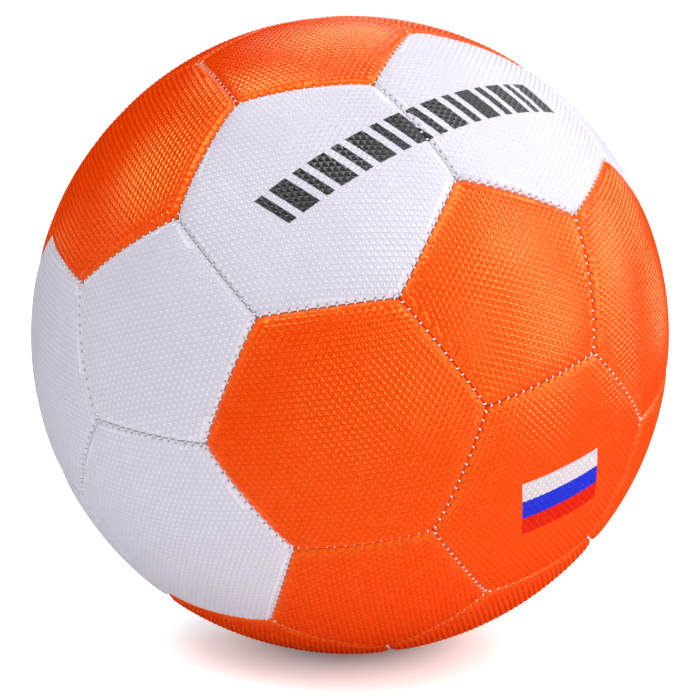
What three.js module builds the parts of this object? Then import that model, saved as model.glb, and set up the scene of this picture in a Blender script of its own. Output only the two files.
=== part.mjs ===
// Soccer ball, size 5, with thirty-two stitched panels.
// Millimetres, +Z up, the ball's centre at the origin.
// Twelve pentagons and twenty hexagons, each a domed laminate whose edges turn inward as
// stitched flanges; the seam thread, the bladder and the valve are bodies of their own.
import * as THREE from 'three';

// ---- driving dimensions (mm) -------------------------------------------------------------
const BALL_R = 110;          // centre to the crown of a panel
const PANEL_INNER_R = 107;   // the laminate's inner face
const SEAM_HALF_GAP = 0.2;   // half the gap between two neighbouring flanges
const FLANGE_THICK = 1.5;    // one turned-in flange
const FLANGE_TIP_R = 103.8;  // the flange's inner end
// The panel's rolled edge, from the dome to the seam: [distance from the seam, radius].
const ROLLED_EDGE = [[4.5, 109.5], [1.3, 108.8], [SEAM_HALF_GAP, 107.3]];

const THREAD_HALF_WIDTH = 0.35;
const THREAD_TOP_R = 108.6;
const THREAD_BOTTOM_R = 108.1;

const BLADDER_WALL = 1.0;
// The bladder bulges under each panel: [share of the way from centre to seam, radius].
const BLADDER_DOME = [[0, 105.15], [0.5, 105.15], [0.88, 104.0], [1, 103.0]];

const VALVE_HOLE_R = 4.6;    // hole in the panel, the patch and the bladder
const VALVE_STEM_R = 4.0;
const VALVE_FACE_H = 109.4;  // the flat outer mouth, measured from the ball's centre
const VALVE_END_H = 92;      // the stem's inner end
const VALVE_BORE_R = 2.3;
const COLLAR_R = 10;
const COLLAR_H = [103.0, 101.8];
const CORE_R = 1.9;
const PATCH_R = 11;
const PATCH_FACES_R = [106.2, 105.6];

// How the panel pattern sits on the resting ball, in degrees, turned in the order X, Y, Z.
const PATTERN_TURN = [117.9, -52.4, -18.1];
// Panels whose centres are this near the pattern's YZ plane (unit ball) form the white band.
const WHITE_BAND = 0.4;

const EDGE_STEPS = 3;        // chords along one panel edge
const BLADDER_STEPS = 2;
const ROUND_STEPS = 24;      // sides of the valve's round bodies

// ---- colours -----------------------------------------------------------------------------
const WHITE = 0xf2f1f6;
const ORANGE = 0xff5f08;
const THREAD = 0xe9e4dc;
const BUTYL = 0x1b1b1d;
const VALVE_RUBBER = 0x262628;
const CORE_RUBBER = 0xd8d5ce;
const PATCH = 0xc9c2b2;

// ---- a closed skin made of rings ---------------------------------------------------------
class Skin {
  constructor() {
    this.points = [];
    this.triangles = [];
  }
  point(v) {
    this.points.push(v.x, v.y, v.z);
    return this.points.length / 3 - 1;
  }
  ring(vectors) {
    return vectors.map((v) => this.point(v));
  }
  triangle(a, b, c) {
    this.triangles.push(a, b, c);
  }
  quad(a, b, c, d) {
    this.triangle(a, b, c);
    this.triangle(a, c, d);
  }
  // Joins two rings that turn the same way; `first` is passed first along the profile.
  bridge(first, second) {
    const n = first.length;
    for (let i = 0; i < n; i++) {
      const j = (i + 1) % n;
      this.quad(first[i], second[i], second[j], first[j]);
    }
  }
  open(centre, ring) {
    ring.forEach((p, i) => this.triangle(centre, p, ring[(i + 1) % ring.length]));
  }
  close(ring, centre) {
    ring.forEach((p, i) => this.triangle(centre, ring[(i + 1) % ring.length], p));
  }
  // Joins a whole profile of rings; a profile with no centre points closes on itself.
  profile(rings) {
    for (let i = 0; i + 1 < rings.length; i++) this.bridge(rings[i], rings[i + 1]);
  }
  mesh(name, colour, roughness) {
    const geometry = new THREE.BufferGeometry();
    geometry.setAttribute('position', new THREE.Float32BufferAttribute(this.points, 3));
    geometry.setIndex(this.triangles);
    geometry.computeVertexNormals();
    const material = new THREE.MeshStandardMaterial({ color: colour, roughness });
    material.name = name;
    const mesh = new THREE.Mesh(geometry, material);
    mesh.name = name;
    return mesh;
  }
}

// ---- the panel pattern: a truncated icosahedron ------------------------------------------
const PHI = (1 + Math.sqrt(5)) / 2;
const turn = new THREE.Euler(...PATTERN_TURN.map(THREE.MathUtils.degToRad), 'XYZ');

const apexes = [];
for (const a of [-1, 1]) {
  for (const b of [-PHI, PHI]) {
    apexes.push(new THREE.Vector3(0, a, b), new THREE.Vector3(a, b, 0), new THREE.Vector3(b, 0, a));
  }
}
const adjacent = (i, j) => i !== j && apexes[i].distanceTo(apexes[j]) < 2.1;

// A corner lies a third of the way from apex i to its neighbour j.
const corners = [];
const cornerId = new Map();
const corner = (i, j) => {
  const key = `${i}-${j}`;
  if (!cornerId.has(key)) {
    cornerId.set(key, corners.length);
    corners.push(apexes[i].clone().lerp(apexes[j], 1 / 3).normalize());
  }
  return cornerId.get(key);
};

const outlines = [];
for (let i = 0; i < 12; i++) {
  const around = [...Array(12).keys()].filter((j) => adjacent(i, j));
  outlines.push(around.map((j) => corner(i, j)));
  for (const j of around) {
    for (const k of around) {
      if (i < j && j < k && adjacent(j, k)) {
        outlines.push([[i, j], [j, i], [j, k], [k, j], [k, i], [i, k]].map(([a, b]) => corner(a, b)));
      }
    }
  }
}

// Puts a panel's corners in order, counter-clockwise seen from outside.
function makePanel(ids) {
  const middle = ids.reduce((sum, id) => sum.add(corners[id]), new THREE.Vector3()).normalize();
  const east = corners[ids[0]].clone().projectOnPlane(middle).normalize();
  const north = middle.clone().cross(east);
  const angle = (id) => Math.atan2(corners[id].dot(north), corners[id].dot(east));
  const order = [...ids].sort((a, b) => angle(a) - angle(b));
  return { ids: order, white: Math.abs(middle.x) < WHITE_BAND, centre: middle };
}

const panels = outlines.map(makePanel);
corners.forEach((v) => v.applyEuler(turn));
panels.forEach((panel) => panel.centre.applyEuler(turn));

// Offsets, on the tangent plane at the panel's centre, of the points round its outline.
function outlineOffsets(panel, steps) {
  const offsets = [];
  panel.ids.forEach((id, i) => {
    const from = corners[id];
    const to = corners[panel.ids[(i + 1) % panel.ids.length]];
    for (let k = 0; k < steps; k++) {
      const d = from.clone().lerp(to, k / steps);
      offsets.push(d.divideScalar(d.dot(panel.centre)).sub(panel.centre));
    }
  });
  return offsets;
}

const apothem = (panel) => {
  const [a, b] = panel.ids.map((id) => corners[id]);
  const d = a.clone().lerp(b, 0.5);
  return d.divideScalar(d.dot(panel.centre)).sub(panel.centre).length();
};

const ringAt = (panel, offsets, share, radius) =>
  offsets.map((q) => panel.centre.clone().addScaledVector(q, share).setLength(radius));

const circleAt = (panel, offsets, circleR, radius) =>
  offsets.map((q) => panel.centre.clone()
    .addScaledVector(q, circleR / radius / q.length()).setLength(radius));

// ---- the cover ---------------------------------------------------------------------------
function buildPanel(panel, name, holed) {
  const skin = new Skin();
  const offsets = outlineOffsets(panel, EDGE_STEPS);
  const half = apothem(panel) * BALL_R;
  const share = (fromSeam) => 1 - fromSeam / half;
  const at = (s, r) => skin.ring(ringAt(panel, offsets, s, r));
  const edge = ROLLED_EDGE.map(([fromSeam, r]) => at(share(fromSeam), r));
  const root = SEAM_HALF_GAP + FLANGE_THICK;
  const rings = [
    at(0.5, BALL_R - 0.05),
    ...edge,
    at(share(SEAM_HALF_GAP), FLANGE_TIP_R),
    at(share(root), FLANGE_TIP_R),
    at(share(root), PANEL_INNER_R - 0.4),
    at(0.6, PANEL_INNER_R),
  ];
  if (holed) {
    const mouth = skin.ring(circleAt(panel, offsets, VALVE_HOLE_R, BALL_R));
    const back = skin.ring(circleAt(panel, offsets, VALVE_HOLE_R, PANEL_INNER_R));
    skin.profile([mouth, ...rings, back, mouth]);
  } else {
    skin.open(skin.point(panel.centre.clone().setLength(BALL_R)), rings[0]);
    skin.profile(rings);
    skin.close(rings.at(-1), skin.point(panel.centre.clone().setLength(PANEL_INNER_R)));
  }
  return skin.mesh(name, panel.white ? WHITE : ORANGE, 0.45);
}

// ---- the seam thread: one network that follows all ninety seams ---------------------------
function buildThread() {
  const skin = new Skin();
  const strips = new Map();
  const tips = corners.map(() => []);
  for (const panel of panels) {
    const offsets = outlineOffsets(panel, EDGE_STEPS);
    const share = 1 - THREAD_HALF_WIDTH / (apothem(panel) * THREAD_TOP_R);
    const top = skin.ring(ringAt(panel, offsets, share, THREAD_TOP_R));
    const bottom = skin.ring(ringAt(panel, offsets, share, THREAD_BOTTOM_R));
    const n = top.length;
    for (let i = 0; i < n; i++) {
      const j = (i + 1) % n;
      skin.quad(top[i], top[j], bottom[j], bottom[i]);
    }
    panel.ids.forEach((id, i) => {
      const next = panel.ids[(i + 1) % panel.ids.length];
      const run = [...Array(EDGE_STEPS + 1).keys()].map((k) => (i * EDGE_STEPS + k) % n);
      strips.set(`${id}-${next}`, { top: run.map((k) => top[k]), bottom: run.map((k) => bottom[k]) });
      tips[id].push({ panel, top: top[i * EDGE_STEPS], bottom: bottom[i * EDGE_STEPS] });
    });
  }
  for (const [key, left] of strips) {
    const [from, to] = key.split('-').map(Number);
    if (from > to) continue;
    const right = strips.get(`${to}-${from}`);
    for (let k = 0; k < EDGE_STEPS; k++) {
      const m = EDGE_STEPS - k;
      skin.quad(right.top[m], right.top[m - 1], left.top[k + 1], left.top[k]);
      skin.quad(left.bottom[k], left.bottom[k + 1], right.bottom[m - 1], right.bottom[m]);
    }
  }
  tips.forEach((three, id) => {
    const [a, b, c] = three;
    const spin = b.panel.centre.clone().sub(a.panel.centre)
      .cross(c.panel.centre.clone().sub(a.panel.centre)).dot(corners[id]);
    const [p, q, r] = spin > 0 ? [a, b, c] : [a, c, b];
    skin.triangle(p.top, q.top, r.top);
    skin.triangle(p.bottom, r.bottom, q.bottom);
  });
  return skin.mesh('seam_thread', THREAD, 0.8);
}

// ---- the bladder: a thin shell, open only where the valve passes through it ----------------
function buildBladder(valvePanel) {
  const skin = new Skin();
  for (const depth of [0, BLADDER_WALL]) {
    const shared = new Map();
    const seamPoint = (v) => {
      const key = v.toArray().map((x) => Math.round(x * 100)).join();
      if (!shared.has(key)) shared.set(key, skin.point(v));
      return shared.get(key);
    };
    for (const panel of panels) {
      const offsets = outlineOffsets(panel, BLADDER_STEPS);
      const rings = BLADDER_DOME.slice(1).map(([s, r], i, all) => {
        const ring = ringAt(panel, offsets, s, r - depth);
        return i === all.length - 1 ? ring.map(seamPoint) : skin.ring(ring);
      });
      const centreR = BLADDER_DOME[0][1] - depth;
      if (panel === valvePanel) {
        const hole = skin.ring(circleAt(panel, offsets, VALVE_HOLE_R, centreR));
        rings.unshift(hole);
        panel.bladderHoles = [...(panel.bladderHoles ?? []), hole];
      } else {
        const centre = skin.point(panel.centre.clone().setLength(centreR));
        if (depth) skin.close(rings[0], centre);
        else skin.open(centre, rings[0]);
      }
      skin.profile(depth ? rings.reverse() : rings);
    }
  }
  skin.bridge(valvePanel.bladderHoles[1], valvePanel.bladderHoles[0]);
  return skin.mesh('bladder', BUTYL, 0.7);
}

// ---- round bodies about the valve's axis ---------------------------------------------------
// The profile runs outward along the outer end, then inward, as [distance from the axis, height].
function buildRound(axis, profile, name, colour, roughness, solid) {
  const skin = new Skin();
  const upright = new THREE.Quaternion().setFromUnitVectors(new THREE.Vector3(0, 0, 1), axis);
  const at = (r, h, turnBy) =>
    new THREE.Vector3(r * Math.cos(turnBy), r * Math.sin(turnBy), h).applyQuaternion(upright);
  const steps = [...Array(ROUND_STEPS).keys()].map((k) => (k * 2 * Math.PI) / ROUND_STEPS);
  const rings = profile.filter(([r]) => r > 0)
    .map(([r, h]) => skin.ring(steps.map((t) => at(r, h, t))));
  if (solid) {
    skin.open(skin.point(at(0, profile[0][1], 0)), rings[0]);
    skin.profile(rings);
    skin.close(rings.at(-1), skin.point(at(0, profile.at(-1)[1], 0)));
  } else {
    skin.profile([...rings, rings[0]]);
  }
  return skin.mesh(name, colour, roughness);
}

const RECESS_H = [106.0, 104.4]; // the bore's wider recess, which holds the core's ring
const RECESS_R = 3.1;
const bootProfile = [
  [VALVE_BORE_R, VALVE_FACE_H], [VALVE_STEM_R, VALVE_FACE_H],
  [VALVE_STEM_R, COLLAR_H[0]], [COLLAR_R, COLLAR_H[0]],
  [COLLAR_R, COLLAR_H[1]], [VALVE_STEM_R, COLLAR_H[1]],
  [VALVE_STEM_R, VALVE_END_H], [VALVE_BORE_R, VALVE_END_H],
  [VALVE_BORE_R, RECESS_H[1]], [RECESS_R, RECESS_H[1]],
  [RECESS_R, RECESS_H[0]], [VALVE_BORE_R, RECESS_H[0]],
];
// A needle hole in the top, a ring round the middle and a blunt inner tip.
const coreProfile = [
  [0, VALVE_FACE_H - 3.2], [0.4, VALVE_FACE_H - 3.0], [0.9, VALVE_FACE_H - 0.2],
  [CORE_R, VALVE_FACE_H - 0.2],
  [CORE_R, RECESS_H[0] - 0.35], [RECESS_R - 0.4, RECESS_H[0] - 0.6],
  [RECESS_R - 0.4, RECESS_H[1] + 0.6], [CORE_R, RECESS_H[1] + 0.35],
  [CORE_R, VALVE_END_H + 4], [0.9, VALVE_END_H + 2], [0, VALVE_END_H + 2],
];

// ---- assembly ------------------------------------------------------------------------------
const ball = new THREE.Group();
ball.name = 'soccer_ball';

const valvePanel = panels.filter((panel) => panel.ids.length === 6)
  .reduce((best, panel) => (panel.centre.y > best.centre.y ? panel : best));
const counts = {};
for (const panel of panels) {
  const kind = `${panel.ids.length === 6 ? 'hexagon' : 'pentagon'}_${panel.white ? 'white' : 'orange'}`;
  counts[kind] = (counts[kind] ?? 0) + 1;
  const name = `${kind}_${String(counts[kind]).padStart(2, '0')}`;
  ball.add(buildPanel(panel, name, panel === valvePanel));
}

const patchProfile = [
  [VALVE_HOLE_R + 0.4, PATCH_FACES_R[0]], [PATCH_R, PATCH_FACES_R[0]],
  [PATCH_R, PATCH_FACES_R[1]], [VALVE_HOLE_R + 0.4, PATCH_FACES_R[1]],
].map(([r, sphereR]) => [r, Math.sqrt(sphereR ** 2 - r ** 2)]);

ball.add(buildThread());
ball.add(buildBladder(valvePanel));
const axis = valvePanel.centre.clone().normalize();
ball.add(buildRound(axis, patchProfile, 'valve_patch', PATCH, 0.9, false));
ball.add(buildRound(axis, bootProfile, 'valve_boot', VALVE_RUBBER, 0.6, false));
ball.add(buildRound(axis, coreProfile, 'valve_core', CORE_RUBBER, 0.6, true));

export default ball;
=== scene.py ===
import math

import bpy
import numpy as np
from mathutils import Matrix, Vector
from mathutils.geometry import delaunay_2d_cdt


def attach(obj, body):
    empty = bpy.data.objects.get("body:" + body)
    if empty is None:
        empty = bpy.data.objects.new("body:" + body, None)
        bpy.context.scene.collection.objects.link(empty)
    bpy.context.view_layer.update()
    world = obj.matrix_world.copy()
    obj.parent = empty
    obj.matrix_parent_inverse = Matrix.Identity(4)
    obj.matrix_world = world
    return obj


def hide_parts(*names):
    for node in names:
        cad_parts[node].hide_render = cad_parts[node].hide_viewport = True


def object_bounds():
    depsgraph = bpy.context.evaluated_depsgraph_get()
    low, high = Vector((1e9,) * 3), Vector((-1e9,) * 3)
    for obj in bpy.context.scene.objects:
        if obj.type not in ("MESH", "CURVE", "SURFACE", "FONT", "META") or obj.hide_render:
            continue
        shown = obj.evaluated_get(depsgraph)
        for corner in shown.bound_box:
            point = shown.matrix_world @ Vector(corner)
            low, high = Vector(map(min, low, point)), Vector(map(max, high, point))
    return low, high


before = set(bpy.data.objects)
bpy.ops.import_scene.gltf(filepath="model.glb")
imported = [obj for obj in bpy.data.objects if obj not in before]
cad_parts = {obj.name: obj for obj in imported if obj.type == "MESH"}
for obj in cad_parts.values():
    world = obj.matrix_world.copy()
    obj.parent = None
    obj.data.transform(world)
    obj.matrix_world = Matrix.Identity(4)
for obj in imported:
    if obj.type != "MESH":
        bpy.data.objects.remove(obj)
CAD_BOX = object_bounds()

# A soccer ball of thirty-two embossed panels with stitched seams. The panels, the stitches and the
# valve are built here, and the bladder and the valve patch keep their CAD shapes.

MM = 0.001
SEED = 7

# ---- driving dimensions, in metres unless they say otherwise --------------------------------
BALL_R = 110 * MM             # centre to the crown of a panel
PATTERN_TURN = (117.9, -52.4, -18.1)  # the resting ball's turn about X, Y and Z, in degrees
WHITE_BAND = 0.4              # panels whose centres are this near the pattern's YZ plane are white

STITCHES_PER_SEAM = 15
STITCH_SCATTER = (-0.1, 0.1)  # how far a stitch strays along its seam, in stitches
PULL_SCATTER = (0.75, 1.25)   # how hard it pulls, where 1 is usual
SEAM_DIP = (0.95 * MM, 1.5 * MM)      # the wide roll toward a seam: how deep, and how far it reaches
SEAM_NOTCH = (0.55 * MM, 0.25 * MM)   # the sharp fold at the seam itself
SEAM_REACH = 3 * MM           # stitches shape the face no further than this from a seam
PULL_DIP = (0.35 * MM, 0.6 * MM)      # the dimple at a stitch: how deep, and how far it reaches
PUCKER_DIP = (0.16 * MM, 1.4 * MM)    # the soft wave from stitch to stitch
PULL_WIDTH = 0.5 * MM         # how far along the seam the dimple and the wave of a stitch reach
PUCKER_WIDTH = 1.1 * MM
PUCKER_MEAN = 0.65            # the wave's mean, so that it rises as much as it falls
CREASE_SHADE_DEPTH = 0.4            # how dark the painted shade in the fold at a seam is, and how far it reaches
CREASE_SHADE_WIDTH = 0.18 * MM
FAINT_HOLE = 0.25             # the holes on a seam's other panel are this share as deep, and their painted shade this share as dark

THREAD_R = 0.3 * MM
THREAD_TOP_R = BALL_R - 0.9 * MM
THREAD_DIVE = 1.4 * MM        # how far a stitch drops from its middle to its ends
THREAD_SHIFT = 0.15 * MM      # how far a stitch sits toward the panel with the needle holes
THREAD_SLANT = 0.22 * MM      # how far along the seam its two ends part from square
THREAD_SCATTER = 0.56 * MM    # how much more a stitch slants for each unit of pull over 1
THREAD_SINK = 0.14 * MM       # how much deeper a stitch lies for each unit of pull
THREAD_SPANS = 8              # lengths in one stitch, and sides of the thread
THREAD_SIDES = 8
STITCH_REACH = 0.6 * MM       # from the seam to where the thread dives into a panel
HOLE_OUT = 0.72 * MM          # the needle holes: distance from the seam, size and depth
HOLE_R = 0.3 * MM
HOLE_DEPTH = 0.7 * MM
SEAM_ROLL = 1.1 * MM          # how far from a seam the stretched, rolled edge reaches
TIGHT_SINK = 0.5 * MM         # how much deeper the thread lies in a seam that was pulled tight
TIGHT_SEAMS = ({"hexagon_orange_12", "pentagon_orange_08"}, {"hexagon_orange_12", "hexagon_white_06"},
               {"hexagon_white_05", "hexagon_white_06"}, {"hexagon_white_06", "pentagon_orange_08"})
SCALLOP = 0.22 * MM           # how far an orange edge bulges over a white one between stitches
SCALLOP_REACH = 0.7 * MM      # how far from the seam the bulge reaches
SCALLOP_PULL = 1.3            # how far a stitch draws the bulge back
SCALLOP_ENDS = 0.06           # the share of a seam at each end over which the bulge dies away

EDGE_STEPS = 200              # points along one panel edge
RING_DISTANCES = [1.3, 1.1, 0.92, 0.75, 0.58, 0.42, 0.28, 0.16, 0.07]  # mm from the seam
FLANGE_GAP = 0.05 * MM
FLANGE_THICK = 1.5 * MM
FLANGE_TOP_R = BALL_R - 3.1 * MM
FLANGE_TIP_R = BALL_R - 6.2 * MM
FLANGE_ROOT_R = BALL_R - 3.5 * MM
INNER_R = BALL_R - 3.0 * MM
BACK_STEP = 6                 # mm between the points of the cloth back
BACK_REACH = 45               # mm from its middle to its edge
BACK_MARGIN = 5 * MM          # its points keep this far from the seams

CELL_BASE = 2.3 * MM          # the embossed triangles: width, row height and relief
CELL_ROW = 1.73 * MM
RELIEF = 0.27 * MM
LOW_SHARE = 0.5               # every second triangle is this share as high, and gets more painted shade
SMOOTH_MARGIN = (0.4 * MM, 1.3 * MM)  # each side of a panel has its own margin between these
FADE_SPAN = (0.2, 1.4)        # the embossing fades in from the first to the second of these margins
FACE_MARGIN = (RING_DISTANCES[0] + 0.12) * MM  # the cells' corners keep this far from a seam
LATTICE_REACH = 52 * MM       # the lattice of cells covers a square this far each way
# The side of the panel, counted leftward from its highest one, that the rows of triangles follow.
# On a pentagon they stand square to it. Panels that aren't listed take a side by chance.
GRAIN_SIDE = {"hexagon_white_08": 2, "hexagon_white_07": 2, "hexagon_white_06": 1, "hexagon_white_05": 1,
              "pentagon_white_04": 1, "hexagon_orange_12": 0, "hexagon_orange_11": 0,
              "hexagon_orange_09": 0, "hexagon_orange_08": 2, "pentagon_orange_07": 3,
              "pentagon_orange_03": 1, "pentagon_orange_08": 0}

VALVE_HOLE_R = 4.6 * MM
HOLE_STEPS = 72               # points round the valve hole
LIP_WIDTH = 0.35 * MM         # how wide and how deep the hole's bevelled lip is
CELLS_OFF_HOLE = 0.8 * MM     # how far the cells' corners keep from the hole
SMOOTH_ROUND_HOLE = (0.4 * MM, 2.5 * MM)  # the embossing fades in between these distances from it
VALVE_BORE_R = 2.3 * MM
VALVE_STEM_R = 4.0 * MM
VALVE_FACE_H = 109.4 * MM
VALVE_END_H = 92 * MM
RECESS_H = (106.0 * MM, 104.4 * MM)
RECESS_R = 3.1 * MM
COLLAR_R = 10 * MM
COLLAR_H = (103.0 * MM, 101.8 * MM)
BOOT_ROUNDING = 0.6 * MM
CORE_R = 1.9 * MM
CORE_FACE_H = VALVE_FACE_H - 0.2 * MM  # the core's face, its slit and the dimple round the slit
SLIT_R = 0.4 * MM
SLIT_H = VALVE_FACE_H - 3 * MM
SLIT_POINT_H = VALVE_FACE_H - 3.2 * MM
DIMPLE_R = 0.9 * MM
BEAD_R = RECESS_R - 0.4 * MM  # the core's bead, which sits in the boot's recess
BEAD_SLOPE_H = 0.35 * MM
BEAD_TOP_H = 0.6 * MM
CORE_END_H = VALVE_END_H + 4 * MM
CORE_NOSE_H = VALVE_END_H + 2 * MM
CORE_ROUNDING = 0.4 * MM

# The dark stripes printed along the white band: they lean, and a wide one and a narrow one alternate.
# The wide one and the narrow one each start and end at these shares of the period.
WIDE_STRIPE = (0, 0.44)
NARROW_STRIPE = (0.61, 0.82)
STRIPES_HALF_RUN = 58.4 * MM
STRIPES_HALF_HEIGHT = 6.7 * MM
STRIPE_PERIOD = 14.6 * MM
STRIPE_LEAN = 0.3
# The three-band patch: its middle on the panel's cutting sheet, its size and its lean.
PATCH_PANEL = "hexagon_orange_11"
PATCH_MIDDLE = (0.8 * MM, -2.0 * MM)
PATCH_SIZE = (32 * MM, 21 * MM)
PATCH_LEAN = 0.045

rng = np.random.default_rng(SEED)


# ---- the panel pattern: a truncated icosahedron ---------------------------------------------
PHI = (1 + math.sqrt(5)) / 2


def turned(vectors):
    """The vectors turned as the ball rests, about X first, then the turned Y and Z."""
    x, y, z = (math.radians(a) for a in PATTERN_TURN)
    about_x = np.array([[1, 0, 0], [0, math.cos(x), -math.sin(x)], [0, math.sin(x), math.cos(x)]])
    about_y = np.array([[math.cos(y), 0, math.sin(y)], [0, 1, 0], [-math.sin(y), 0, math.cos(y)]])
    about_z = np.array([[math.cos(z), -math.sin(z), 0], [math.sin(z), math.cos(z), 0], [0, 0, 1]])
    return vectors @ (about_x @ about_y @ about_z).T


def unit(v):
    """The vector, or each of an array of them, at length 1."""
    return v / np.linalg.norm(v, axis=-1, keepdims=True)


def make_pattern():
    """(corner directions, panels): each panel has its name, corner numbers in order and centre."""
    apexes = []
    for a in (-1, 1):
        for b in (-PHI, PHI):
            apexes += [(0, a, b), (a, b, 0), (b, 0, a)]
    apexes = np.array(apexes)
    # Neighbouring apexes of this icosahedron are 2 apart, and the next nearest 3.2.
    near = [[j for j in range(12) if j != i and np.linalg.norm(apexes[i] - apexes[j]) < 2.1]
            for i in range(12)]
    corners, ids = [], {}

    def corner(i, j):
        if (i, j) not in ids:
            ids[i, j] = len(corners)
            corners.append(unit(apexes[i] + (apexes[j] - apexes[i]) / 3))
        return ids[i, j]

    outlines = []
    for i in range(12):
        outlines.append([corner(i, j) for j in near[i]])
        for j in near[i]:
            for k in near[i]:
                if i < j < k and k in near[j]:
                    trio = [(i, j), (j, i), (j, k), (k, j), (k, i), (i, k)]
                    outlines.append([corner(a, b) for a, b in trio])
    corners = np.array(corners)
    panels, counts = [], {}
    for outline in outlines:
        centre = unit(corners[outline].sum(axis=0))
        east = unit(corners[outline[0]] - centre * (corners[outline[0]] @ centre))
        north = np.cross(centre, east)
        outline = sorted(outline, key=lambda c: math.atan2(corners[c] @ north, corners[c] @ east))
        white = abs(centre[0]) < WHITE_BAND
        kind = ("hexagon" if len(outline) == 6 else "pentagon") + ("_white" if white else "_orange")
        counts[kind] = counts.get(kind, 0) + 1
        panels.append({"name": f"{kind}_{counts[kind]:02d}", "ids": outline, "white": white,
                       "centre": turned(centre)})
    return turned(corners), panels


CORNERS, PANELS = make_pattern()
SEAMS = sorted({tuple(sorted((p["ids"][i], p["ids"][i - 1]))) for p in PANELS for i in range(len(p["ids"]))})
SEAM_LENGTH = BALL_R * math.acos(CORNERS[SEAMS[0][0]] @ CORNERS[SEAMS[0][1]])
# Each stitch's place along its seam (0 to 1) and how hard it pulls, with a little scatter.
STITCH_AT = {s: (np.arange(STITCHES_PER_SEAM) + 0.5 + rng.uniform(*STITCH_SCATTER, STITCHES_PER_SEAM))
             / STITCHES_PER_SEAM for s in SEAMS}
STITCH_PULL = {s: rng.uniform(*PULL_SCATTER, STITCHES_PER_SEAM) for s in SEAMS}


def panels_beside(seam):
    """The two panels that the seam joins."""
    return [p for p in PANELS if seam[0] in p["ids"] and seam[1] in p["ids"]]


def seam_lean(seam):
    """Which way and how far a seam's edges bulge between stitches: orange over white, or half as much."""
    normal = unit(np.cross(CORNERS[seam[0]], CORNERS[seam[1]]))
    sides = panels_beside(seam)
    toward = max(sides, key=lambda p: p["white"])
    share = 0.5 if sides[0]["white"] == sides[1]["white"] else 1.0
    return SCALLOP * share * np.sign(normal @ toward["centre"]) * normal


SEAM_LEAN = {s: seam_lean(s) for s in SEAMS}


def panel_grain(data):
    """How a panel's embossing lies: its turn, its offset and how near each seam it fades out."""
    sides = len(data["ids"])
    side = GRAIN_SIDE.get(data["name"], int(rng.integers(sides)))
    turn = math.radians(60 * side if sides == 6 else 90 + 72 * side)
    offset = rng.uniform(-0.5, 0.5, 2) * (CELL_BASE, CELL_ROW)
    return turn, offset, rng.uniform(*SMOOTH_MARGIN, sides)


GRAIN = {p["name"]: panel_grain(p) for p in PANELS}
VALVE_PANEL = max((p for p in PANELS if len(p["ids"]) == 6), key=lambda p: p["centre"][1])


# ---- mesh helpers ----------------------------------------------------------------------------
class Skin:
    """Collects the points and faces of one closed mesh.

    Each point has three marks from 0 to 1: how much painted shade it gets in the fold at a seam and in the
    needle holes, how much painted shade it gets low in the embossing, and how near a seam.
    """

    def __init__(self):
        self.points, self.marks = [], []
        self.faces, self.flat, self.slots = [], [], []
        self.count = 0

    def add(self, points, marks=(0.0, 0.0, 0.0)):
        first = self.count
        self.points.append(np.asarray(points, float))
        self.marks.append(np.broadcast_to(marks, (len(points), 3)))
        self.count += len(points)
        return np.arange(first, self.count)

    def face(self, faces, flat=None, slot=0):
        faces = [tuple(int(i) for i in f) for f in faces]
        self.faces += faces
        self.flat += list(flat) if flat is not None else [False] * len(faces)
        self.slots += [slot] * len(faces)

    def bridge(self, first, second, slot=0):
        """A band of four-sided faces between two rings of as many points."""
        self.face(zip(first, second, np.roll(second, -1), np.roll(first, -1)), slot=slot)

    def mesh(self, name):
        mesh = bpy.data.meshes.new(name)
        mesh.from_pydata(np.concatenate(self.points).tolist(), [], self.faces)
        mesh.polygons.foreach_set("use_smooth", [not f for f in self.flat])
        mesh.polygons.foreach_set("material_index", self.slots)
        for mark, values in zip(("crease_shade", "groove_shade", "seam"), np.concatenate(self.marks).T):
            attribute = mesh.attributes.new(mark, "FLOAT", "POINT")
            attribute.data.foreach_set("value", np.ascontiguousarray(values))
        mesh.update()
        return mesh


def add_piece(name, mesh, materials, nodes):
    """An object that stands for the CAD nodes and rides where they do."""
    piece = bpy.data.objects.new(name, mesh)
    bpy.context.scene.collection.objects.link(piece)
    for material in materials:
        mesh.materials.append(material)
    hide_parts(*nodes)
    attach(piece, "root")
    return piece


def smoothstep(low, high, x):
    """0 below low, 1 above high, and a smooth rise between them."""
    t = np.clip((x - low) / (high - low), 0, 1)
    return t * t * (3 - 2 * t)


def bell(x):
    return np.exp(-x ** 2)


def fading(dip, distance):
    """How deep a dip is at a distance from its middle. The dip is (depth, reach)."""
    depth, reach = dip
    return depth * np.exp(-distance / reach)


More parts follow.
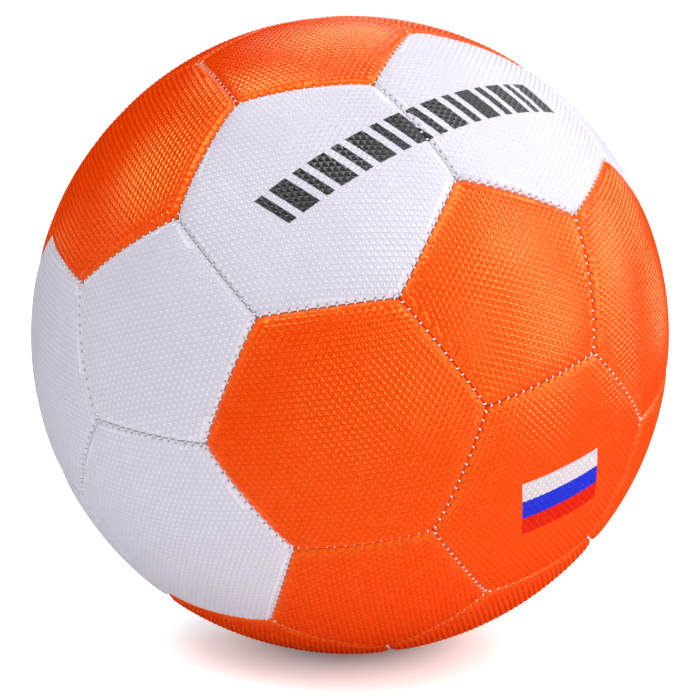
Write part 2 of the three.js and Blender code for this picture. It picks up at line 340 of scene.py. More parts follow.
# ---- one panel ---------------------------------------------------------------------------------
class Panel:
    """One panel's own frame: its centre, its up and right directions and its sides in turn."""

    def __init__(self, data):
        ids = data["ids"]
        n = len(ids)
        self.centre = data["centre"]
        self.turn, self.offset, self.margins = GRAIN[data["name"]]
        self.hole = VALVE_HOLE_R if data is VALVE_PANEL else 0.0
        middles = [unit(CORNERS[ids[i]] + CORNERS[ids[(i + 1) % n]]) for i in range(n)]
        first = max(range(n), key=lambda i: middles[i][2])
        self.corner_ids = [ids[(first + i) % n] for i in range(n)]
        self.middles = np.array([middles[(first + i) % n] for i in range(n)])
        self.up = unit(self.middles[0] - self.centre * (self.middles[0] @ self.centre))
        self.right = np.cross(self.up, self.centre)
        starts = CORNERS[self.corner_ids]
        ends = np.roll(starts, -1, axis=0)
        self.walls = unit(np.cross(starts, ends))
        self.along = unit(ends - starts)
        self.apothem = math.tan(math.acos(self.middles[0] @ self.centre))
        self.sides = n

    def outline(self, distance, steps):
        """Directions at that distance inside the seam, with `steps` points along each side."""
        share = 1 - distance / (self.apothem * BALL_R)
        starts = CORNERS[self.corner_ids]
        ends = np.roll(starts, -1, axis=0)
        t = np.arange(steps)[None, :, None] / steps
        d = (starts[:, None] * (1 - t) + ends[:, None] * t).reshape(-1, 3)
        d = d / (d @ self.centre)[:, None]
        return unit(self.centre + (d - self.centre) * share)

    def flat(self, d):
        """A direction's place on the panel's cutting sheet, in metres."""
        x, y, z = d @ self.right, d @ self.up, d @ self.centre
        away = np.hypot(x, y)
        scale = np.where(away > 1e-9, BALL_R * np.arctan2(away, z) / np.maximum(away, 1e-9), BALL_R)
        return np.stack([x * scale, y * scale], axis=-1)

    def round(self, xy):
        """The direction of a place on the cutting sheet."""
        away = np.hypot(xy[:, 0], xy[:, 1])
        angle = away / BALL_R
        s = np.where(away > 1e-9, np.sin(angle) / np.maximum(away, 1e-9), 1 / BALL_R)
        return (np.cos(angle)[:, None] * self.centre + (xy[:, :1] * self.right + xy[:, 1:] * self.up)
                * s[:, None])

    def distances(self, d):
        """How far each direction is from each seam, in metres."""
        return BALL_R * np.arcsin(np.clip(d @ self.walls.T, -1, 1))

    def embossing(self, d):
        """(height, painted groove shade) of the embossed triangles at each direction: small three-sided
        pyramids.
        """
        xy = self.flat(d)
        x = xy[:, 0] * math.cos(self.turn) + xy[:, 1] * math.sin(self.turn) - self.offset[0]
        y = xy[:, 1] * math.cos(self.turn) - xy[:, 0] * math.sin(self.turn) - self.offset[1]
        u, v = (x / CELL_BASE - 0.5 * y / CELL_ROW) % 1, (y / CELL_ROW) % 1
        upright = np.minimum(np.minimum(u, v), 1 - u - v)
        inverted = np.minimum(np.minimum(1 - u, 1 - v), u + v - 1)
        height = 3 * np.maximum(np.maximum(upright, inverted * LOW_SHARE), 0)
        fade = smoothstep(*FADE_SPAN, self.distances(d) / self.margins).min(axis=1)
        if self.hole:
            away = np.hypot(xy[:, 0], xy[:, 1])
            fade = fade * smoothstep(*(self.hole + reach for reach in SMOOTH_ROUND_HOLE), away)
        # The second value is painted shade, darkest in the grooves and on the lower triangles.
        return RELIEF * height * fade, (1 - height) * fade

    def surface(self, d):
        """(points, marks) of the outer face at each direction.

        It is domed, rolled in at the seams and pulled in at the stitches. Between stitches each edge
        bulges sideways, the way that SEAM_LEAN says.
        """
        from_seams = np.maximum(self.distances(d), 0)
        drop = (fading(SEAM_DIP, from_seams) + fading(SEAM_NOTCH, from_seams)).sum(axis=1)
        side = from_seams.argmin(axis=1)
        nearest = from_seams.min(axis=1)
        height, groove_shade = self.embossing(d)
        # Painted shade: the colour darkens in the fold at the seam.
        crease_shade = CREASE_SHADE_DEPTH * bell(nearest / CREASE_SHADE_WIDTH)
        bulge = np.zeros((len(d), 3))
        for i in range(self.sides):
            here = (side == i) & (nearest < SEAM_REACH)
            if not here.any():
                continue
            a, b = self.corner_ids[i], self.corner_ids[(i + 1) % self.sides]
            seam = (min(a, b), max(a, b))
            run = np.arcsin(np.clip((d[here] - self.middles[i]) @ self.along[i], -1, 1)) * BALL_R
            t = 0.5 + run / SEAM_LENGTH * (1 if a < b else -1)
            gap = (t[:, None] - STITCH_AT[seam][None, :]) * SEAM_LENGTH
            pull = (bell(gap / PULL_WIDTH) * STITCH_PULL[seam]).sum(axis=1)
            wave = (bell(gap / PUCKER_WIDTH) * STITCH_PULL[seam]).sum(axis=1)
            off = np.hypot(gap, nearest[here, None] - HOLE_OUT).min(axis=1)
            hole = bell(off / HOLE_R) * (1 if self.centre @ SEAM_LEAN[seam] > 0 else FAINT_HOLE)
            drop[here] += pull * fading(PULL_DIP, nearest[here])
            drop[here] += (wave - PUCKER_MEAN) * fading(PUCKER_DIP, nearest[here])
            drop[here] += HOLE_DEPTH * hole
            # The needle holes are painted dark as well as sunk: painted shade.
            crease_shade[here] = np.maximum(crease_shade[here], hole)
            lean = (1 - SCALLOP_PULL * wave) * np.exp(-nearest[here] / SCALLOP_REACH)
            lean *= smoothstep(0, SCALLOP_ENDS, t) * smoothstep(0, SCALLOP_ENDS, 1 - t)
            bulge[here] = lean[:, None] * SEAM_LEAN[seam]
        points = d * (BALL_R - drop + height)[:, None] + bulge
        return points, np.stack([crease_shade, groove_shade, np.exp(-nearest / SEAM_ROLL)], axis=1)


def clear_of_edges(panel, place, clear):
    """Which places on the cutting sheet are that far from every seam and clear of the valve hole."""
    inside = panel.distances(panel.round(place)).min(axis=1) > clear
    if panel.hole:
        inside &= np.hypot(place[:, 0], place[:, 1]) > panel.hole + CELLS_OFF_HOLE
    return inside


def lattice(panel, clear):
    """The corners and tips of the embossed cells, and the pairs of corners along the grooves."""
    rows = int(LATTICE_REACH / CELL_ROW)
    columns = int(LATTICE_REACH / CELL_BASE)
    where, place = {}, []
    for j in range(-rows, rows + 1):
        for i in range(-columns - rows, columns + rows + 1):
            x = (i + 0.5 * j) * CELL_BASE + panel.offset[0]
            y = j * CELL_ROW + panel.offset[1]
            if abs(x) < LATTICE_REACH and abs(y) < LATTICE_REACH:
                where[i, j] = len(place)
                place.append((x * math.cos(panel.turn) - y * math.sin(panel.turn),
                              x * math.sin(panel.turn) + y * math.cos(panel.turn)))
    place = np.array(place)
    tips = []
    for i, j in where:
        for cell in (((i, j), (i + 1, j), (i, j + 1)), ((i, j), (i, j + 1), (i - 1, j + 1))):
            if all(corner in where for corner in cell):
                tips.append(place[[where[corner] for corner in cell]].mean(axis=0))
    tips = np.array(tips)
    inside = clear_of_edges(panel, place, clear)
    keep = [ij for ij, n in where.items() if inside[n]]
    number = {ij: n for n, ij in enumerate(keep)}
    pairs = []
    for i, j in keep:
        for other in ((i + 1, j), (i, j + 1), (i - 1, j + 1)):
            if other in number:
                pairs.append((number[i, j], number[other]))
    return place[inside], tips[clear_of_edges(panel, tips, clear)], pairs


def loop_edges(start, count):
    """The edges of a closed loop of points that are numbered in a row."""
    return [(start + i, start + (i + 1) % count) for i in range(count)]


def triangulate(parts, edges, upward):
    """(places, triangles) of the points and edges, all turned to face up or down."""
    points = [Vector(p) for p in np.concatenate(parts) * 1000]
    verts, _, faces, *_ = delaunay_2d_cdt(points, edges, [], 0, 1e-7)
    placed = np.array([v[:] for v in verts]) / 1000
    faces = np.array([f for f in faces if len(f) == 3])
    a, b, c = (placed[faces[:, k]] for k in range(3))
    turn_way = (b[:, 0] - a[:, 0]) * (c[:, 1] - a[:, 1]) - (b[:, 1] - a[:, 1]) * (c[:, 0] - a[:, 0])
    wrong = turn_way < 0 if upward else turn_way > 0
    faces[wrong] = faces[wrong][:, ::-1]
    return placed, faces


def outside_circle(placed, faces, radius):
    """The faces whose middles are further than that from the panel's middle."""
    middle = placed[faces].mean(axis=1)
    return faces[np.hypot(middle[:, 0], middle[:, 1]) > radius]


def circle(radius):
    """Places round the valve hole, on the cutting sheet."""
    turn = np.linspace(0, 2 * math.pi, HOLE_STEPS, endpoint=False)
    return np.stack([np.cos(turn), np.sin(turn)], axis=1) * radius


def add_face(skin, panel, outer):
    """The embossed outer face inside the ring `outer`. Returns the numbers round the valve hole."""
    rim = panel.flat(panel.outline(RING_DISTANCES[0] * MM, EDGE_STEPS))
    nodes, tips, pairs = lattice(panel, FACE_MARGIN)
    parts = [rim, nodes, tips]
    edges = loop_edges(0, len(rim)) + [(a + len(rim), b + len(rim)) for a, b in pairs]
    lip = sum(len(part) for part in parts)
    if panel.hole:
        parts.append(circle(panel.hole + LIP_WIDTH))
        edges += loop_edges(lip, HOLE_STEPS)
    placed, faces = triangulate(parts, edges, True)
    if panel.hole:
        faces = outside_circle(placed, faces, panel.hole)
    d = panel.round(placed)
    points, marks = panel.surface(d)
    is_rim = np.arange(len(placed)) < len(rim)
    number = np.empty(len(placed), int)
    number[is_rim] = outer
    number[~is_rim] = skin.add(points[~is_rim], marks[~is_rim])
    skin.face(number[faces], flat=[True] * len(faces))
    return number[lip:lip + HOLE_STEPS]


def add_back(skin, panel, outer, root):
    """The cloth back inside the ring `outer`. Returns the numbers round the valve hole."""
    rim = panel.flat(root)
    grid = np.arange(-BACK_REACH, BACK_REACH + 1, BACK_STEP)
    sheet = np.array([(x, y) for x in grid for y in grid]) * MM
    inside = panel.distances(panel.round(sheet)).min(axis=1) > BACK_MARGIN
    if panel.hole:
        inside &= np.hypot(sheet[:, 0], sheet[:, 1]) > panel.hole + 2 * MM
    parts = [rim, sheet[inside]]
    edges = loop_edges(0, len(rim))
    lip = len(rim) + inside.sum()
    if panel.hole:
        parts.append(circle(panel.hole))
        edges += loop_edges(lip, HOLE_STEPS)
    placed, faces = triangulate(parts, edges, False)
    if panel.hole:
        faces = outside_circle(placed, faces, panel.hole * 0.99)
    is_rim = np.arange(len(placed)) < len(rim)
    number = np.empty(len(placed), int)
    number[is_rim] = outer
    number[~is_rim] = skin.add(panel.round(placed[~is_rim]) * INNER_R)
    skin.face(number[faces], slot=1)
    return number[lip:lip + HOLE_STEPS]


def build_panel(data, cover):
    """One cover panel: rolled edge, embossed face, turned-in flange and cloth back."""
    panel = Panel(data)
    skin = Skin()
    rings = []
    for distance in RING_DISTANCES:
        d = panel.outline(distance * MM, EDGE_STEPS)
        rings.append(skin.add(*panel.surface(d)))
    for outer, inner in zip(rings, rings[1:]):
        skin.bridge(outer, inner)
    mouth = add_face(skin, panel, rings[0])
    gap = panel.outline(FLANGE_GAP, EDGE_STEPS)
    root = panel.outline(FLANGE_GAP + FLANGE_THICK, EDGE_STEPS)
    last = rings[-1]
    for d, r, slot in ((gap, FLANGE_TOP_R, 0), (gap, FLANGE_TIP_R, 0),
                       (root, FLANGE_TIP_R, 1), (root, FLANGE_ROOT_R, 1)):
        # Marks of 1 paint the flange down in the seam gap fully dark: painted shade.
        ring = skin.add(d * r, 1.0)
        skin.bridge(last, ring, slot=slot)
        last = ring
    back = add_back(skin, panel, last, root)
    if panel.hole:
        lip = skin.add(panel.round(circle(panel.hole)) * (BALL_R - LIP_WIDTH))
        skin.bridge(lip, mouth)
        skin.bridge(back, lip, slot=1)
    slot = "cover_white" if data["white"] else "cover_orange"
    add_piece("cover_" + data["name"], skin.mesh(data["name"]), [cover, BACKING], [data["name"]])


# ---- the stitches ------------------------------------------------------------------------------
def add_stitch(skin, out, across, along, pull, top):
    """A short arch of thread that slants across the seam and dives into the panel on each side."""
    skew = THREAD_SLANT + THREAD_SCATTER * (pull - 1)
    rings = []
    for s in np.linspace(-1, 1, THREAD_SPANS + 1):
        lift = top - THREAD_SINK * pull - THREAD_DIVE * abs(s) ** 3
        slope = -3 * THREAD_DIVE / STITCH_REACH * abs(s) ** 2 * np.sign(s)
        centre = out * lift + across * (s * STITCH_REACH + THREAD_SHIFT) + along * s * skew
        side = np.cross(unit(across + out * slope), along)
        rings.append(skin.add([centre + THREAD_R * (math.cos(w) * along + math.sin(w) * side)
                               for w in np.linspace(0, 2 * math.pi, THREAD_SIDES, endpoint=False)]))
    for first, second in zip(rings, rings[1:]):
        skin.bridge(second, first)
    skin.face([rings[0][::-1], rings[-1]])


def build_stitches():
    """The stitches of all ninety seams, as one piece."""
    skin = Skin()
    for seam in SEAMS:
        a, b = CORNERS[seam[0]], CORNERS[seam[1]]
        across = unit(SEAM_LEAN[seam])
        tight = {p["name"] for p in panels_beside(seam)} in TIGHT_SEAMS
        top = THREAD_TOP_R - TIGHT_SINK * tight
        for at, pull in zip(STITCH_AT[seam], STITCH_PULL[seam]):
            angle = (at - 0.5) * SEAM_LENGTH / BALL_R
            out = math.cos(angle) * unit(a + b) + math.sin(angle) * unit(b - a)
            add_stitch(skin, out, across, np.cross(across, out), pull, top)
    add_piece("stitches", skin.mesh("stitches"), [THREAD], ["seam_thread"])


# ---- the valve ---------------------------------------------------------------------------------
def rounded(profile, radius, steps=5):
    """The closed profile with each corner turned into a small arc."""
    points = np.array(profile)
    smooth = []
    for before, here, after in zip(np.roll(points, 1, axis=0), points, np.roll(points, -1, axis=0)):
        if here[0] < 1e-9:
            smooth.append(here)
            continue
        reach = min(radius, np.linalg.norm(before - here) / 2.5, np.linalg.norm(after - here) / 2.5)
        start = here + unit(before - here) * reach
        end = here + unit(after - here) * reach
        for t in np.linspace(0, 1, steps):
            smooth.append(start * (1 - t) ** 2 + here * 2 * t * (1 - t) + end * t ** 2)
    return smooth


def build_round(name, profile, material, node, steps=64):
    """A body turned about the valve's axis. The profile is a list of (distance from axis, height)."""
    axis = VALVE_PANEL["centre"]
    east = unit(np.cross(axis, (0, 0, 1)))
    north = np.cross(axis, east)
    turn = np.linspace(0, 2 * math.pi, steps, endpoint=False)
    spokes = np.cos(turn)[:, None] * east + np.sin(turn)[:, None] * north
    skin = Skin()
    solid = profile[0][0] < 1e-9
    rings = [skin.add(spokes * r + axis * h) for r, h in profile if r > 1e-9]
    for first, second in zip(rings, rings[1:]):
        skin.bridge(first, second)
    if solid:
        top = skin.add([axis * profile[0][1]])[0]
        bottom = skin.add([axis * profile[-1][1]])[0]
        skin.face([(top, i, j) for i, j in zip(rings[0], np.roll(rings[0], -1))])
        skin.face([(bottom, j, i) for i, j in zip(rings[-1], np.roll(rings[-1], -1))])
    else:
        skin.bridge(rings[-1], rings[0])
    add_piece(name, skin.mesh(name), [material], [node])


def build_valve():
    """The boot, with its collar and its bore, and the soft core inside it."""
    boot = [(VALVE_BORE_R, VALVE_FACE_H), (VALVE_STEM_R, VALVE_FACE_H),
            (VALVE_STEM_R, COLLAR_H[0]), (COLLAR_R, COLLAR_H[0]),
            (COLLAR_R, COLLAR_H[1]), (VALVE_STEM_R, COLLAR_H[1]),
            (VALVE_STEM_R, VALVE_END_H), (VALVE_BORE_R, VALVE_END_H),
            (VALVE_BORE_R, RECESS_H[1]), (RECESS_R, RECESS_H[1]),
            (RECESS_R, RECESS_H[0]), (VALVE_BORE_R, RECESS_H[0])]
    build_round("boot", rounded(boot, BOOT_ROUNDING), VALVE_RUBBER, "valve_boot")
    core = [(0, SLIT_POINT_H), (SLIT_R, SLIT_H), (DIMPLE_R, CORE_FACE_H), (CORE_R, CORE_FACE_H),
            (CORE_R, RECESS_H[0] - BEAD_SLOPE_H), (BEAD_R, RECESS_H[0] - BEAD_TOP_H),
            (BEAD_R, RECESS_H[1] + BEAD_TOP_H), (CORE_R, RECESS_H[1] + BEAD_SLOPE_H),
            (CORE_R, CORE_END_H), (DIMPLE_R, CORE_NOSE_H), (0, CORE_NOSE_H)]
    build_round("core", rounded(core, CORE_ROUNDING), CORE_RUBBER, "valve_core")


# ---- materials -----------------------------------------------------------------------------------
class Look:
    """A material, with short ways to add and link its nodes."""

    def __init__(self, name, roughness):
        self.material = bpy.data.materials.new(name)
        self.material.use_nodes = True
        self.tree = self.material.node_tree
        self.shader = self.tree.nodes["Principled BSDF"]
        self.shader.inputs["Roughness"].default_value = roughness
        self.place = self.add("TexCoord").outputs["Object"]

    def add(self, kind, inputs=None, **settings):
        """A new shader node. A socket given as an input is linked, and a value is set."""
        node = self.tree.nodes.new("ShaderNode" + kind)
        for key, value in settings.items():
            setattr(node, key, value)
        for key, value in (inputs or {}).items():
            self.set(node.inputs[key], value)
        return node

    def set(self, socket, value):
        """Links another node's socket to this one, or sets it to a value."""
        if isinstance(value, bpy.types.NodeSocket):
            self.tree.links.new(value, socket)
        else:
            socket.default_value = value

    def math(self, operation, *values):
        """One sum on sockets or numbers."""
        return self.add("Math", dict(enumerate(values)), operation=operation).outputs[0]

    def noise(self, scale, detail=2.0):
        """A mottle between 0 and 1. The scale is how many of its cells fit in a metre."""
        return self.add("TexNoise", {"Vector": self.place, "Scale": scale, "Detail": detail}).outputs["Fac"]

    def mark(self, name):
        """One of the marks that a Skin keeps at each point."""
        return self.add("Attribute", attribute_name=name).outputs["Fac"]

    def mix(self, factor, a, b, blend="MIX"):
        """Colour a where the factor is 0, and b where it is 1."""
        node = self.add("Mix", data_type="RGBA", blend_type=blend)
        for name, value in (("Factor_Float", factor), ("A_Color", a), ("B_Color", b)):
            self.set(next(i for i in node.inputs if i.identifier == name), value)
        return next(o for o in node.outputs if o.identifier == "Result_Color")

    def bump(self, height, distance, strength):
        """Bumps that deep, in metres, from a height between 0 and 1."""
        node = self.add("Bump", {"Height": height, "Distance": distance, "Strength": strength})
        self.tree.links.new(node.outputs["Normal"], self.shader.inputs["Normal"])

    def colour(self, socket):
        """The shader's base colour, from a node."""
        self.tree.links.new(socket, self.shader.inputs["Base Color"])

    def roughness(self, source, low, high):
        """Roughness low where the source is 0, high where it is 1, and further on beyond them."""
        spread = self.add("MapRange", {"Value": source, "To Min": low, "To Max": high}, clamp=False)
        self.tree.links.new(spread.outputs["Result"], self.shader.inputs["Roughness"])

    def turned_place(self, x, y, z):
        """The place's coordinates along three axes at right angles."""
        turn = Matrix(np.stack([x, y, z], axis=1).tolist()).to_euler("XYZ")
        mapping = self.add("Mapping", {"Vector": self.place, "Rotation": turn}, vector_type="TEXTURE")
        return self.add("SeparateXYZ", {"Vector": mapping.outputs["Vector"]}).outputs

    def between(self, value, low, high):
        """1 where the value lies between the two, and 0 elsewhere."""
        middle, half = (low + high) / 2, (high - low) / 2
        return self.add("Math", {0: value, 1: middle, 2: half}, operation="COMPARE").outputs[0]


def rgba(r, g, b):
    return (r, g, b, 1)


STRIPE_INK = rgba(0.016, 0.016, 0.021)
# The stripe ink as it shows in the grooves, darker: painted shade.
STRIPE_INK_SHADED_IN_GROOVES = rgba(0.006, 0.006, 0.008)
PATCH_INKS = (rgba(0.84, 0.76, 0.84), rgba(0.0, 0.02, 0.8), rgba(0.92, 0.0, 0.0))  # from the top down
PATCH_SHADED_IN_GROOVES = 0.6        # the patch's inks are this share as bright in the grooves: painted shade
PORE_DEPTH = 0.08 * MM
GLOSS_DRIFT = 0.05            # how far the roughness strays each way
SEAM_DULLING = 3              # how many times its full range of drift the roughness rises at a seam


def stripes(look, colour, groove_shade):
    """The base colour with leaning dark stripes printed along the front of the white band."""
    axes = look.turned_place(*turned(np.eye(3)))
    run = look.math("MULTIPLY", look.math("ARCTAN2", axes["Z"], axes["Y"]), BALL_R)
    leaning = look.math("ADD", run, look.math("MULTIPLY", axes["X"], STRIPE_LEAN))
    phase = look.math("FLOORED_MODULO", leaning, STRIPE_PERIOD)
    wide, narrow = (look.between(phase, *(share * STRIPE_PERIOD for share in stripe))
                    for stripe in (WIDE_STRIPE, NARROW_STRIPE))
    ink = look.math("MAXIMUM", wide, narrow)
    ink = look.math("MULTIPLY", ink, look.between(leaning, -STRIPES_HALF_RUN, STRIPES_HALF_RUN))
    ink = look.math("MULTIPLY", ink, look.between(axes["X"], -STRIPES_HALF_HEIGHT, STRIPES_HALF_HEIGHT))
    ink = look.math("MULTIPLY", ink, look.math("GREATER_THAN", axes["Y"], 0))
    # Painted shade: the stripe ink darkens in the grooves.
    return look.mix(ink, colour, look.mix(groove_shade, STRIPE_INK, STRIPE_INK_SHADED_IN_GROOVES))


def tricolour(look, colour, groove_shade):
    """The base colour with the three-band patch printed on its panel."""
    panel = Panel(next(p for p in PANELS if p["name"] == PATCH_PANEL))
    axes = look.turned_place(panel.right, panel.up, panel.centre)
    x = look.math("MULTIPLY", look.math("ARCTAN2", axes["X"], axes["Z"]), BALL_R)
    y = look.math("MULTIPLY", look.math("ARCTAN2", axes["Y"], axes["Z"]), BALL_R)
    y = look.math("ADD", y, look.math("MULTIPLY", x, PATCH_LEAN))
    x = look.math("SUBTRACT", x, PATCH_MIDDLE[0])
    y = look.math("SUBTRACT", y, PATCH_MIDDLE[1])
    wide = look.between(x, -PATCH_SIZE[0] / 2, PATCH_SIZE[0] / 2)
    for band, ink in enumerate(PATCH_INKS):
        top = PATCH_SIZE[1] * (0.5 - band / 3)
        inside = look.math("MULTIPLY", wide, look.between(y, top - PATCH_SIZE[1] / 3, top))
        # Painted shade: the patch's inks darken in the grooves.
        shaded = look.mix(groove_shade, ink, rgba(*(PATCH_SHADED_IN_GROOVES * level for level in ink[:3])))
        colour = look.mix(inside, colour, shaded)
    return colour


def cover_material(name, colours, groove_shade_tint, crease_shade, highlight, level, gloss, print_on=None):
    """Embossed laminate: fine pores, a slow drift of colour, painted shade in the seam folds, needle holes
    and embossing grooves, and duller edges.
    """
    look = Look(name, gloss)
    look.shader.inputs["Specular IOR Level"].default_value = level
    look.shader.inputs["Specular Tint"].default_value = highlight
    pores = look.noise(2600, 3)
    look.bump(pores, PORE_DEPTH, 0.18)
    duller = look.math("MULTIPLY", look.mark("seam"), SEAM_DULLING)
    look.roughness(look.math("ADD", look.noise(160), duller), gloss - GLOSS_DRIFT, gloss + GLOSS_DRIFT)
    groove_shade = look.mark("groove_shade")
    base = look.mix(look.noise(22), *colours)
    # Painted shade: the embossing's grooves and lower triangles darken by the groove tint.
    base = look.mix(groove_shade, base, groove_shade_tint, "MULTIPLY")
    if print_on:
        base = print_on(look, base, groove_shade)
    # Painted shade: the seam folds and needle holes darken toward the crease colour.
    look.colour(look.mix(look.mark("crease_shade"), base, crease_shade))
    return look.material


def thread_material():
    """Waxed white polyester thread with a twist."""
    look = Look("waxed_thread", 0.45)
    twist = look.add("TexWave", {"Vector": look.place, "Scale": 900.0, "Distortion": 2.0}).outputs["Fac"]
    look.bump(twist, 0.05 * MM, 0.5)
    look.colour(look.mix(look.noise(700), rgba(0.95, 0.93, 0.93), rgba(0.72, 0.69, 0.69)))
    return look.material


def backing_material():
    """Woven cotton and polyester cloth, glued behind the laminate."""
    look = Look("backing_cloth", 0.9)
    warp = look.add("TexWave", {"Vector": look.place, "Scale": 400.0}, bands_direction="X").outputs["Fac"]
    weft = look.add("TexWave", {"Vector": look.place, "Scale": 400.0}, bands_direction="Z").outputs["Fac"]
    weave = look.math("MULTIPLY", warp, weft)
    look.bump(weave, 0.12 * MM, 0.6)
    # The weave's low parts are painted darker: painted shade in its hollows.
    look.colour(look.mix(weave, rgba(0.42, 0.37, 0.29), rgba(0.66, 0.60, 0.50)))
    return look.material


def rubber_material(name, dark, light, roughness, dust):
    """Moulded rubber: a mottled bloom of talc and a fine pebble."""
    look = Look(name, roughness)
    look.bump(look.noise(1500, 4), 0.05 * MM, 0.35)
    look.roughness(look.noise(90), roughness - 0.08, roughness + 0.1)
    bloom = look.add("MapRange", {"Value": look.noise(60, 5), "From Min": 0.45, "From Max": 0.75,
                                  "To Max": dust}).outputs["Result"]
    look.colour(look.mix(bloom, dark, light))
    return look.material


def patch_material():
    """Cloth-reinforced patch round the valve hole."""
    look = Look("patch_cloth", 0.8)
    weave = look.add("TexWave", {"Vector": look.place, "Scale": 300.0, "Distortion": 0.6}).outputs["Fac"]
    look.bump(weave, 0.1 * MM, 0.5)
    # The weave's low parts are painted darker: painted shade in its hollows.
    look.colour(look.mix(weave, rgba(0.50, 0.45, 0.36), rgba(0.68, 0.62, 0.51)))
    return look.material


# Painted shade in each laminate: its groove tint darkens the embossing's grooves and lower triangles, and
# its crease colour darkens the seam folds and needle holes.
WHITE_LAMINATE = dict(colours=(rgba(0.755, 0.722, 0.805), rgba(0.735, 0.702, 0.785)),
                      groove_shade_tint=rgba(0.72, 0.72, 0.75), crease_shade=rgba(0.07, 0.05, 0.05),
                      highlight=rgba(1, 1, 1), level=0.7, gloss=0.36)
ORANGE_LAMINATE = dict(colours=(rgba(1.0, 0.084, 0.0), rgba(0.99, 0.074, 0.0)),
                       groove_shade_tint=rgba(0.74, 0.42, 1), crease_shade=rgba(0.06, 0.002, 0.0),
                       highlight=rgba(1, 0.9, 0.15), level=1.0, gloss=0.26)
WHITE = cover_material("cover_white", print_on=stripes, **WHITE_LAMINATE)
ORANGE = cover_material("cover_orange", **ORANGE_LAMINATE)
ORANGE_PRINTED = cover_material("cover_orange_printed", print_on=tricolour, **ORANGE_LAMINATE)
BACKING = backing_material()
THREAD = thread_material()
VALVE_RUBBER = rubber_material("valve_rubber", rgba(0.018, 0.018, 0.02), rgba(0.06, 0.06, 0.065), 0.5, 0.5)
CORE_RUBBER = rubber_material("core_rubber", rgba(0.62, 0.60, 0.54), rgba(0.72, 0.70, 0.65), 0.45, 1.0)
BUTYL = rubber_material("butyl", rgba(0.012, 0.012, 0.013), rgba(0.16, 0.16, 0.16), 0.6, 0.6)
PATCH = patch_material()

for data in PANELS:
    cover = ORANGE_PRINTED if data["name"] == PATCH_PANEL else WHITE if data["white"] else ORANGE
    build_panel(data, cover)
build_stitches()
build_valve()
for name, material in (("bladder", BUTYL), ("valve_patch", PATCH)):
    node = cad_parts[name]
    node.data.materials.clear()
    node.data.materials.append(material)


# ---- floor, light and camera ------------------------------------------------------------------------
CAMERA_AWAY = 7.56 * BALL_R
CAMERA_UP = math.radians(10)
AIM_BELOW = 5.2 * MM
LENS = 122.8                  # mm, on a sensor 36 mm wide
SENSOR_WIDTH = 36
LAMP_AWAY = 1.5
SHEET_R = 3.8                 # the floor and the bounce card, and the wall round them
WALL_R = 3.9
FLOOR_DROP = 0.2 * MM         # how far they lie below the CAD model
CARD_DROP = 1 * MM
# Where each one's glow starts and stops growing, outward from the ball, and its strength there.
FLOOR_GLOW = (0.012, 0.087, 0.05, 1.0)
CARD_GLOW = (0.03, 0.15, 0.06, 0.7)
FILL_LIGHT = 0.02


def glowing(name, albedo, strength):
    """A matt, pale stage material that gives out light."""
    look = Look(name, 0.9)
    look.shader.inputs["Base Color"].default_value = rgba(albedo, albedo, albedo)
    look.shader.inputs["Specular IOR Level"].default_value = 0.0
    look.shader.inputs["Emission Color"].default_value = rgba(1, 1, 1)
    look.shader.inputs["Emission Strength"].default_value = strength
    return look


def add_disc(name, drop):
    """A wide round sheet, that far below the lowest point of the CAD model."""
    bpy.ops.mesh.primitive_circle_add(vertices=128, radius=SHEET_R, fill_type="NGON",
                                      location=(0, 0, CAD_BOX[0][2] - drop))
    disc = bpy.context.object
    disc.name = name
    return disc


def glow_outward(look, near, far, low, high):
    """Makes a sheet's glow grow with the distance from the ball."""
    away = look.add("VectorMath", {0: look.place}, operation="LENGTH").outputs["Value"]
    glow = look.add("MapRange", {"Value": away, "From Min": near, "From Max": far,
                                 "To Min": low, "To Max": high}).outputs["Result"]
    look.tree.links.new(glow, look.shader.inputs["Emission Strength"])


def add_floor():
    """A pale floor that only the camera sees, and a bounce card below it that lights the ball.

    The floor's glow fades near the ball, and that fade is the contact shadow.
    """
    floor = add_disc("floor", FLOOR_DROP)
    look = glowing("floor", 0.85, 1.0)
    glow_outward(look, *FLOOR_GLOW)
    floor.data.materials.append(look.material)
    floor.visible_glossy = False
    floor.visible_diffuse = False
    floor.visible_shadow = False
    card = add_disc("bounce_card", CARD_DROP)
    look = glowing("bounce_card", 0.8, 1.0)
    glow_outward(look, *CARD_GLOW)
    card.data.materials.append(look.material)
    card.visible_glossy = False


def add_backdrop():
    """A pale studio wall all round, seen by the camera only."""
    bpy.ops.mesh.primitive_uv_sphere_add(segments=64, ring_count=32, radius=WALL_R)
    wall = bpy.context.object
    wall.name = "backdrop"
    wall.data.materials.append(glowing("backdrop", 0.0, 1.0).material)
    wall.visible_diffuse = False
    wall.visible_glossy = False
    wall.visible_shadow = False
    wall.visible_transmission = False


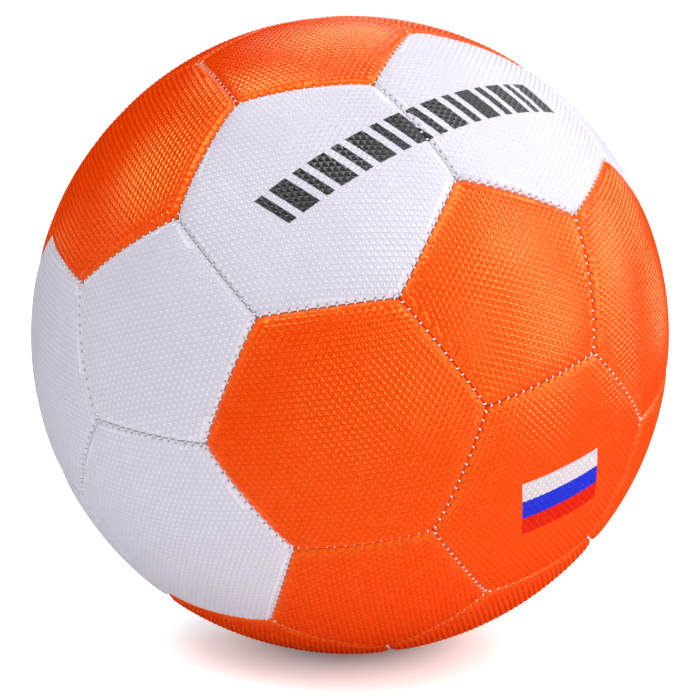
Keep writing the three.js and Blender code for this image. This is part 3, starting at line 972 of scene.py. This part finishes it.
def add_lamp(name, direction, size, power):
    """A round softbox that faces the ball. Its size is in metres and its power in watts."""
    light = bpy.data.lights.new(name, "AREA")
    light.shape = "DISK"
    light.size = size
    light.energy = power
    lamp = bpy.data.objects.new(name, light)
    lamp.location = Vector(direction).normalized() * LAMP_AWAY
    lamp.rotation_euler = (-lamp.location).to_track_quat("-Z", "Y").to_euler()
    bpy.context.scene.collection.objects.link(lamp)


def add_lamps():
    add_lamp("overhead", (0, 0, 1), 0.8, 8.5)
    add_lamp("overhead_left", (-0.4, -0.42, 0.82), 0.8, 10.5)
    add_lamp("high_right", (0.75, 0.05, 0.6), 1.0, 12)
    add_lamp("right_front", (0.81, -0.45, 0.375), 0.8, 5)
    add_lamp("front_right", (0.55, -0.8, 0.25), 1.1, 5.5)
    add_lamp("low_right", (0.98, 0.12, 0.15), 0.6, 4)
    add_lamp("high_back", (0.1, 0.7, 0.7), 0.8, 3.5)
    add_lamp("left", (-1, -0.1, 0.35), 0.8, 2.3)


def add_world():
    """A faint, even fill light that glossy surfaces don't mirror."""
    world = bpy.data.worlds.new("studio")
    world.use_nodes = True
    world.cycles_visibility.glossy = False
    world.node_tree.nodes["Background"].inputs["Color"].default_value = rgba(1, 1, 1)
    world.node_tree.nodes["Background"].inputs["Strength"].default_value = FILL_LIGHT
    bpy.context.scene.world = world


def add_camera():
    """The camera at the photograph's angle, a little above the ball, aimed just below its centre."""
    camera = bpy.data.objects.new("camera", bpy.data.cameras.new("camera"))
    camera.data.lens = LENS
    camera.data.sensor_width = SENSOR_WIDTH
    back = Vector((0, -math.cos(CAMERA_UP), math.sin(CAMERA_UP)))
    up = Vector((0, math.sin(CAMERA_UP), math.cos(CAMERA_UP)))
    camera.location = back * CAMERA_AWAY
    aim = up * -AIM_BELOW
    camera.rotation_euler = (aim - camera.location).to_track_quat("-Z", "Y").to_euler()
    bpy.context.scene.collection.objects.link(camera)
    bpy.context.scene.camera = camera


add_floor()
add_backdrop()
add_lamps()
add_world()
bpy.context.scene.view_settings.view_transform = "Standard"
add_camera()
